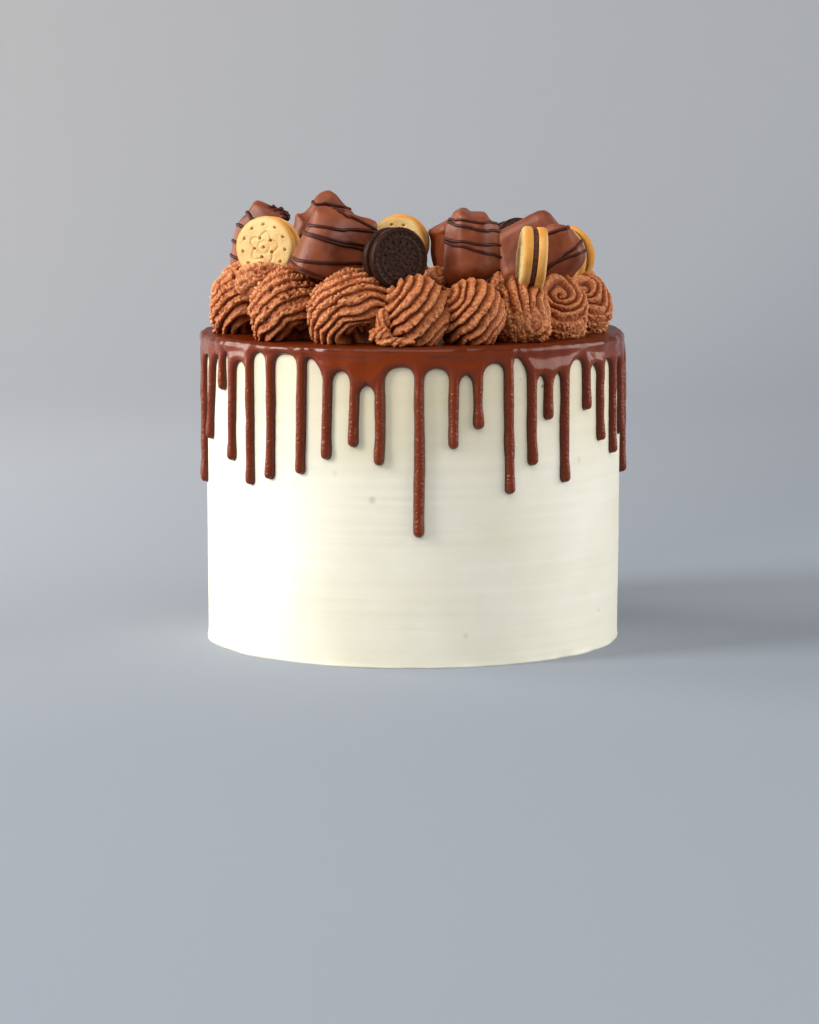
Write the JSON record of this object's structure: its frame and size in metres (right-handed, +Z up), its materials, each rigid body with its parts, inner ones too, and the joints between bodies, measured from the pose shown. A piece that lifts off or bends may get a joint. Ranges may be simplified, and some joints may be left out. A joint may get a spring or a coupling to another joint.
{
  "type": "drip cake",
  "caption": "Tall round iced cake with a dripping chocolate ganache cap, a ring of piped chocolate swirls, sandwich biscuits and chocolate pieces on top.",
  "frame": {"origin": "centre of the cake's flat foot, where it rests", "axes": "+Z up the cake's axis, -Y towards the picture's viewer, +X to the viewer's right"},
  "size_m": [0.1659, 0.166, 0.1707],
  "materials": {
    "vanilla_buttercream": "satin",
    "ganache": "gloss",
    "chocolate_buttercream": "matte",
    "golden_biscuit": "matte",
    "chocolate_cream": "satin",
    "dark_biscuit": "matte",
    "vanilla_cream": "satin",
    "milk_chocolate": "satin"
  },
  "bodies": {
    "root": {"cake": "vanilla_buttercream", "ganache": "ganache", "swirl_01": "chocolate_buttercream", "swirl_02": "chocolate_buttercream", "swirl_03": "chocolate_buttercream", "swirl_04": "chocolate_buttercream", "swirl_05": "chocolate_buttercream", "swirl_06": "chocolate_buttercream", "swirl_07": "chocolate_buttercream", "swirl_08": "chocolate_buttercream", "swirl_09": "chocolate_buttercream", "swirl_10": "chocolate_buttercream", "swirl_11": "chocolate_buttercream", "swirl_12": "chocolate_buttercream", "swirl_13": "chocolate_buttercream", "swirl_14": "chocolate_buttercream", "swirl_15": "chocolate_buttercream", "biscuit_left_front": "golden_biscuit", "biscuit_left_cream": "chocolate_cream", "biscuit_left_back": "golden_biscuit", "biscuit_front_front": "dark_biscuit", "biscuit_front_cream": "vanilla_cream", "biscuit_front_back": "dark_biscuit", "biscuit_right_front": "golden_biscuit", "biscuit_right_cream": "chocolate_cream", "biscuit_right_back": "golden_biscuit", "biscuit_side_front": "golden_biscuit", "biscuit_side_cream": "chocolate_cream", "biscuit_side_back": "golden_biscuit", "biscuit_back_middle_front": "golden_biscuit", "biscuit_back_middle_cream": "chocolate_cream", "biscuit_back_middle_back": "golden_biscuit", "biscuit_back_right_front": "dark_biscuit", "biscuit_back_right_cream": "vanilla_cream", "biscuit_back_right_back": "dark_biscuit", "biscuit_back_left_front": "dark_biscuit", "biscuit_back_left_cream": "vanilla_cream", "biscuit_back_left_back": "dark_biscuit", "chocolate_tall": "milk_chocolate", "chocolate_front": "milk_chocolate", "chocolate_corner": "milk_chocolate", "chocolate_right": "milk_chocolate", "chocolate_left": "milk_chocolate", "chocolate_back_left": "milk_chocolate", "chocolate_back_middle": "milk_chocolate"}
  },
  "joints": []
}
